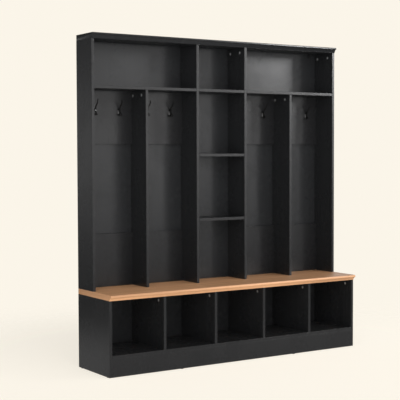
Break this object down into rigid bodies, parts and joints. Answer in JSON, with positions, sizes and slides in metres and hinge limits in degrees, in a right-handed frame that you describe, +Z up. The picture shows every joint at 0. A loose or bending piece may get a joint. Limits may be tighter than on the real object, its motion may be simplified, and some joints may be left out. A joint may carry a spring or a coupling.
{
  "type": "hall locker unit with bench",
  "caption": "Free-standing black hall locker: open hook bays with a shelf column over a bench with an oak top and open shoe cubbies, for coats, bags and shoes.",
  "frame": {"origin": "on the floor, under the middle of the unit's outer box", "axes": "+Z up, +X to the right of someone facing the unit, the open front faces -Y and the back +Y"},
  "size_m": [1.656, 0.374, 1.8],
  "materials": {
    "black_board": "black satin melamine-faced board with matching edging",
    "black_back_panel": "thin board, black satin face",
    "oak_top": "oak grain along the length, matt lacquer",
    "black_hook_metal": "black satin lacquer on cast zinc",
    "black_screw_steel": "black steel",
    "black_bracket_steel": "black painted steel angle",
    "plated_steel": "zinc plated",
    "cam_zinc": "bare die-cast zinc",
    "dowel_beech": "plain beech",
    "shelf_pin_steel": "black nickel",
    "glide_plastic": "black plastic"
  },
  "bodies": {
    "carcass": {"bench_side_left": "black_board", "bench_side_right": "black_board", "bench_divider_1": "black_board", "bench_divider_2": "black_board", "bench_divider_3": "black_board", "bench_divider_4": "black_board", "bench_bottom_board": "black_board", "plinth_front": "black_board", "plinth_rear": "black_board", "plinth_brace_1": "black_board", "plinth_brace_2": "black_board", "hutch_side_left": "black_board", "hutch_side_right": "black_board", "tall_divider_left": "black_board", "tall_divider_right": "black_board", "bay_divider_left": "black_board", "bay_divider_right": "black_board", "upper_shelf_left": "black_board", "upper_shelf_centre": "black_board", "upper_shelf_right": "black_board", "crown_board": "black_board", "hook_rail_1": "black_board", "hook_rail_2": "black_board", "hook_rail_4": "black_board", "hook_rail_5": "black_board", "foot_rail_1": "black_board", "foot_rail_2": "black_board", "foot_rail_4": "black_board", "foot_rail_5": "black_board", "bench_back": "black_back_panel", "hutch_back_left": "black_back_panel", "hutch_back_centre": "black_back_panel", "hutch_back_right": "black_back_panel", "bench_top": "oak_top", "coat_hook_1": "black_hook_metal", "coat_hook_2": "black_hook_metal", "coat_hook_3": "black_hook_metal", "coat_hook_4": "black_hook_metal", "coat_hook_5": "black_hook_metal", "coat_hook_6": "black_hook_metal", "coat_hook_7": "black_hook_metal", "coat_hook_8": "black_hook_metal", "hook_screws": "black_screw_steel", "wall_bracket_left": "black_bracket_steel", "wall_bracket_right": "black_bracket_steel", "cam_bolts_bench": "plated_steel", "cam_bolts_hutch": "plated_steel", "foot_rail_screws": "plated_steel", "cubby_floor_screws": "plated_steel", "back_screws": "plated_steel", "wall_bracket_screws": "plated_steel", "cam_locks_bench": "cam_zinc", "cam_locks_hutch": "cam_zinc", "dowels_bench": "dowel_beech", "dowels_hutch": "dowel_beech", "shelf_pins": "shelf_pin_steel", "floor_glides": "glide_plastic"},
    "loose_shelf_lower": {"loose_shelf_lower": "black_board"},
    "loose_shelf_upper": {"loose_shelf_upper": "black_board"}
  },
  "joints": [
    {"name": "loose_shelf_lower_slide", "type": "slide", "parent": "carcass", "child": "loose_shelf_lower", "axis": [0, -1, 0], "range_m": [0, 0.18]},
    {"name": "loose_shelf_upper_slide", "type": "slide", "parent": "carcass", "child": "loose_shelf_upper", "axis": [0, -1, 0], "range_m": [0, 0.18]}
  ]
}
